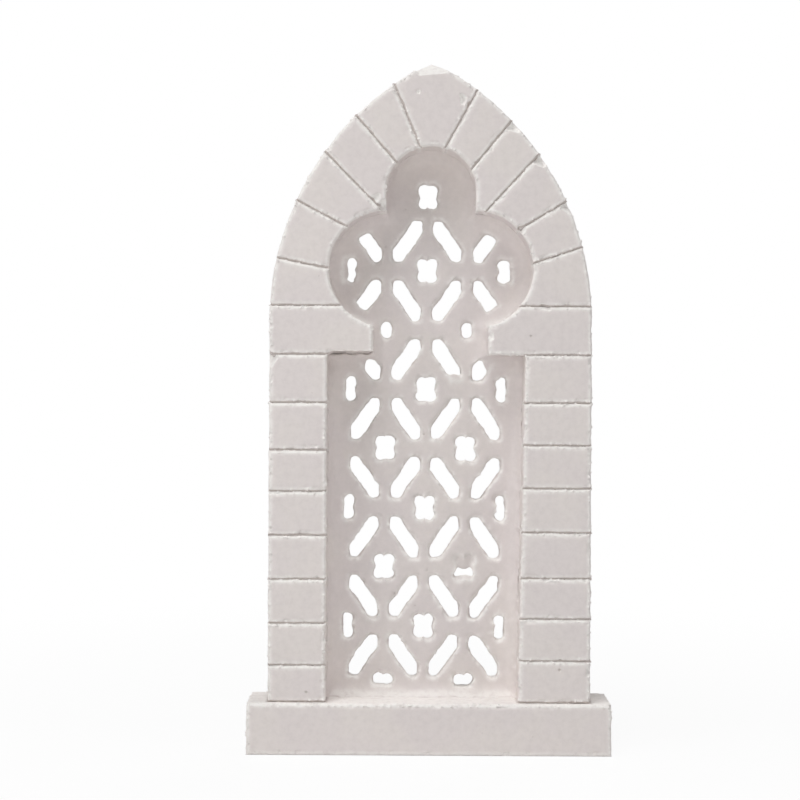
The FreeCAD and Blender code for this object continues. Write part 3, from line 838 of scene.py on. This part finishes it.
def hollow_corner(mesh, radius, overlap):
    """Curve the front of the screen up into the stones round it."""
    stones = search_tree([name for name in SOURCES if name != SCREEN])
    points = read_points(mesh)
    free = gaps(mesh, stones, radius)[0]
    for number in np.flatnonzero(free < 2 * overlap):
        if stones.ray_cast(points[number], (0.0, -1.0, 0.0))[0] is not None:
            free[number] = 0.0
    rise = radius * (1 - np.sqrt(1 - np.clip(1 - free / radius, 0, 1) ** 2))
    share = (SCREEN_MIDDLE - points[:, 1]) / (SCREEN_MIDDLE - SCREEN_FRONT)
    points[:, 1] -= rise * np.clip(share, 0, 1)
    mesh.vertices.foreach_set("co", points.ravel())


def raise_underside(mesh, node):
    """Wear away the underside of an impost where it hangs over the opening."""
    points = read_points(mesh)
    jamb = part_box(node.replace("impost", "jamb_block_8"))
    light = min(abs(jamb[0].x), abs(jamb[1].x))
    inside = np.clip((light - np.abs(points[:, 0])) / UNDERSIDE_START, 0, 1)
    before = np.clip((SCREEN_MIDDLE - UNDERSIDE_END - points[:, 1]) / UNDERSIDE_FADE, 0, 1)
    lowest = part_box(node)[0].z + UNDERSIDE_WEAR * inside * before
    points[:, 2] = np.maximum(points[:, 2], lowest)
    mesh.vertices.foreach_set("co", points.ravel())


def knock_off(mesh, node):
    """Break corners off a stone, each down to a flat face, and tell where it is whitened, partly as newly
    broken plaster and partly as a painted highlight.
    """
    points = read_points(mesh)
    low, high = (np.array(corner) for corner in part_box(node))
    fresh_and_lit = np.zeros(len(points))
    for x, z, reach, depth in CHIPS.values():
        spot = np.array((x * MM, low[1], z * MM))
        away = spot - (low + high) / 2
        away /= np.linalg.norm(away)
        distance = np.linalg.norm(points - spot, axis=1)
        weight = np.clip(CHIP_PLATEAU * (1 - (distance / (reach * MM)) ** 2), 0, 1)
        cut = weight * np.clip((points - spot) @ away + depth * MM, 0, None)
        points -= cut[:, None] * away
        fresh_and_lit = np.maximum(fresh_and_lit, np.clip(cut / FRESH_AND_LIT_CUT, 0, 1))
    mesh.vertices.foreach_set("co", points.ravel())
    return fresh_and_lit


def add_webs(piece):
    """Thin webs of plaster that the mould left in some holes."""
    work = bmesh.new()
    work.from_mesh(piece.data)
    for x, z, half_width, half_height, behind in WEBS.values():
        size = Matrix.Diagonal((half_width * MM, WEB_THICKNESS, half_height * MM, 1.0))
        place = Matrix.Translation((x * MM, SCREEN_FRONT + behind * MM, z * MM))
        bmesh.ops.create_icosphere(work, subdivisions=3, radius=1.0, matrix=place @ size)
    work.to_mesh(piece.data)
    work.free()


def cast(context, node, slot, crumbs=1.0):
    """Make one node over again as a worn piece of plaster that stands for it."""
    sizes = context.scene.casting_sizes
    is_screen = node == SCREEN
    material = bpy.data.materials[f"worn_{slot}"]
    seed = sizes.seed + PIECE_STEP * sorted(SOURCES).index(node)
    original = merged_copy(f"{node}_original", SOURCES[node])
    piece = merged_copy(f"cast_{node}", SOURCES[node])
    use_tree(piece, bpy.data.node_groups["Crumbs on arrises"], {
        "Crumb size": sizes.screen_crumb_size if is_screen else sizes.crumb_size,
        "Spacing": sizes.crumb_spacing,
        "Share": sizes.screen_crumbs if is_screen else crumbs * sizes.stone_crumbs,
        "Behind": SCREEN_MIDDLE if is_screen else FRONT + CRUMBS_BEHIND,
        "Above": CRUMBS_ABOVE, "Seed": seed, "Material": material,
    })
    settle(piece)
    if is_screen:
        mark_border(piece)
        use_tree(piece, bpy.data.node_groups["Run into the stones"], {
            "Overlap": sizes.corner_overlap, "Middle": SCREEN_MIDDLE, "Material": material,
        })
        settle(piece)
        add_webs(piece)
    remesh = piece.modifiers.new("Even mesh", "REMESH")
    remesh.mode = "VOXEL"
    remesh.voxel_size = sizes.screen_voxel if is_screen else sizes.stone_voxel
    remesh.adaptivity = 0.0
    mesh = settle(piece)
    if is_screen:
        hollow_corner(mesh, sizes.corner_radius, sizes.corner_overlap)
    if node == "left_impost":
        raise_underside(mesh, node)
    lip = mark_surfaces(mesh, node)
    # The lip mark holds the painted highlight on the lips under joints and the whitening of the chips,
    # which is partly newly broken plaster and partly painted highlight.
    set_values(mesh, "lip", lip if is_screen else np.maximum(lip, knock_off(mesh, node)))
    use_tree(piece, bpy.data.node_groups["Worn plaster"], {
        "Original": original, "Softness": sizes.screen_softness if is_screen else sizes.stone_softness,
        "Swell depth": sizes.swell_depth, "Swell length": sizes.swell_length,
        "Grain depth": sizes.grain_depth, "Grain length": sizes.grain_length,
        "Waver": sizes.screen_waver if is_screen else sizes.stone_waver,
        "Waver length": sizes.waver_length,
        "Arris depth": sizes.arris_depth, "Arris reach": sizes.arris_reach,
        "Arris length": sizes.arris_length, "Pit radius": sizes.pit_radius,
        "Pit density": sizes.pit_density, "Seed": seed + WEAR_STEP, "Material": material,
    })
    thin = piece.modifiers.new("Fewer faces", "DECIMATE")
    thin.ratio = SCREEN_SHARE if is_screen else STONE_SHARE
    thin.use_collapse_triangulate = True
    mesh = settle(piece)
    dropped = clean_up(mesh)
    mesh.polygons.foreach_set("use_smooth", [True] * len(mesh.polygons))
    bpy.data.objects.remove(original)
    print(piece.name, len(mesh.polygons), "triangles; dropped flaps and speck vertices", *dropped)
    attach(piece, BODY)
    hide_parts(node)
    return piece


class CASTING_OT_materials(bpy.types.Operator):
    """Make the two plasters and the trees that wear them"""

    bl_idname = "casting.materials"
    bl_label = "Plaster and wear"

    def execute(self, context):
        colours = context.scene.casting_colours
        plaster("worn_block_plaster", colours, shift=0.0)
        plaster("worn_screen_plaster", colours, shift=11.0)
        corner_tree()
        crumb_tree()
        wear_tree()
        return {"FINISHED"}


class CASTING_OT_sill(bpy.types.Operator):
    """Cast the sill"""

    bl_idname = "casting.sill"
    bl_label = "Sill"

    def execute(self, context):
        cast(context, "sill", "block_plaster")
        return {"FINISHED"}


class CASTING_OT_jambs(bpy.types.Operator):
    """Cast the blocks of both jambs"""

    bl_idname = "casting.jambs"
    bl_label = "Jamb blocks"

    def execute(self, context):
        for node in sorted(name for name in SOURCES if "jamb_block" in name):
            crumbs = 1.0 if node.startswith("left") else RIGHT_JAMB_CRUMBS
            cast(context, node, "block_plaster", crumbs)
        return {"FINISHED"}


class CASTING_OT_imposts(bpy.types.Operator):
    """Cast the two imposts"""

    bl_idname = "casting.imposts"
    bl_label = "Imposts"

    def execute(self, context):
        cast(context, "left_impost", "block_plaster", crumbs=LEFT_IMPOST_CRUMBS)
        cast(context, "right_impost", "block_plaster", crumbs=RIGHT_IMPOST_CRUMBS)
        return {"FINISHED"}


class CASTING_OT_arch(bpy.types.Operator):
    """Cast the voussoirs and the keystone"""

    bl_idname = "casting.arch"
    bl_label = "Arch stones"

    def execute(self, context):
        for node in sorted(name for name in SOURCES if "voussoir" in name or name == "keystone"):
            cast(context, node, "block_plaster")
        return {"FINISHED"}


class CASTING_OT_screen(bpy.types.Operator):
    """Cast the pierced screen"""

    bl_idname = "casting.screen"
    bl_label = "Pierced screen"

    def execute(self, context):
        cast(context, SCREEN, "screen_plaster")
        return {"FINISHED"}


class CASTING_OT_camera(bpy.types.Operator):
    """Stand the camera where it sees the casting as the picture does"""

    bl_idname = "casting.camera"
    bl_label = "Camera"

    def execute(self, context):
        view = context.scene.casting_view
        camera = bpy.data.objects.new("camera", bpy.data.cameras.new("camera"))
        context.scene.collection.objects.link(camera)
        camera.data.lens = view.lens
        camera.data.clip_start = 0.01
        camera.data.clip_end = 20.0
        level = Matrix.Rotation(math.radians(90), 4, "X")
        camera.matrix_world = Matrix.Translation(view.eye) @ level @ Matrix.Rotation(view.roll, 4, "Z")
        context.scene.camera = camera
        return {"FINISHED"}


def lamp(context, name, azimuth, elevation, distance, width, power):
    """Square soft lamp that points at the middle of the casting."""
    target = Vector((0.0, 0.0, CAD_BOX[1][2] / 2))
    across, up = math.radians(azimuth), math.radians(elevation)
    way = Vector((math.sin(across) * math.cos(up), -math.cos(across) * math.cos(up), math.sin(up)))
    light = bpy.data.lights.new(name, "AREA")
    light.size = width
    light.energy = power
    thing = bpy.data.objects.new(name, light)
    thing.visible_camera = False
    context.scene.collection.objects.link(thing)
    turn = way.to_track_quat("Z", "Y").to_matrix().to_4x4()
    thing.matrix_world = Matrix.Translation(target + distance * way) @ turn


class CASTING_OT_stage(bpy.types.Operator):
    """Lay the floor and hang the lamps"""

    bl_idname = "casting.stage"
    bl_label = "Stage"

    def execute(self, context):
        near, far = -FLOOR_REACH, FLOOR_REACH
        corners = [(near, near, 0), (far, near, 0), (far, far, 0), (near, far, 0)]
        mesh = bpy.data.meshes.new("floor")
        mesh.from_pydata(corners, [], [(0, 1, 2, 3)])
        mesh.materials.append(floor_material(context.scene.casting_colours.floor))
        floor = bpy.data.objects.new("floor", mesh)
        context.scene.collection.objects.link(floor)
        for name, values in LAMPS.items():
            lamp(context, name, *values)
        world = bpy.data.worlds.new("studio")
        context.scene.world = world
        world.use_nodes = True
        tree = world.node_tree
        tree.nodes.clear()
        strength = ramp(tree, looked_at(tree), 0.0, 1.0, WORLD_LIGHT, 1.0)
        glow = add_node(tree, "ShaderNodeBackground", {
            "Color": (1.0, 1.0, 1.0, 1.0), "Strength": strength,
        })
        add_node(tree, "ShaderNodeOutputWorld", {"Surface": glow.outputs[0]})
        context.scene.view_settings.view_transform = "Standard"
        return {"FINISHED"}


STEPS = (
    CASTING_OT_camera, CASTING_OT_stage, CASTING_OT_materials, CASTING_OT_sill, CASTING_OT_jambs,
    CASTING_OT_imposts, CASTING_OT_arch, CASTING_OT_screen,
)


class CASTING_PT_panel(bpy.types.Panel):
    """Steps of the casting"""

    bl_idname = "CASTING_PT_panel"
    bl_label = "Plaster Window Casting"
    bl_space_type = "VIEW_3D"
    bl_region_type = "UI"
    bl_category = "Casting"

    def draw(self, context):
        for step in STEPS:
            self.layout.operator(step.bl_idname)
        scene = context.scene
        for group in (scene.casting_sizes, scene.casting_colours, scene.casting_view):
            for key in group.__annotations__:
                self.layout.prop(group, key)


CLASSES = (CastingSizes, CastingColours, CastingView, *STEPS, CASTING_PT_panel)


def register():
    for item in CLASSES:
        bpy.utils.register_class(item)
    bpy.types.Scene.casting_sizes = bpy.props.PointerProperty(type=CastingSizes)
    bpy.types.Scene.casting_colours = bpy.props.PointerProperty(type=CastingColours)
    bpy.types.Scene.casting_view = bpy.props.PointerProperty(type=CastingView)


def unregister():
    del bpy.types.Scene.casting_view
    del bpy.types.Scene.casting_colours
    del bpy.types.Scene.casting_sizes
    for item in reversed(CLASSES):
        bpy.utils.unregister_class(item)


def main():
    """Run every step."""
    register()
    bpy.ops.casting.camera()
    bpy.ops.casting.stage()
    bpy.ops.casting.materials()
    bpy.ops.casting.sill()
    bpy.ops.casting.jambs()
    bpy.ops.casting.imposts()
    bpy.ops.casting.arch()
    bpy.ops.casting.screen()


if __name__ == "__main__":
    main()
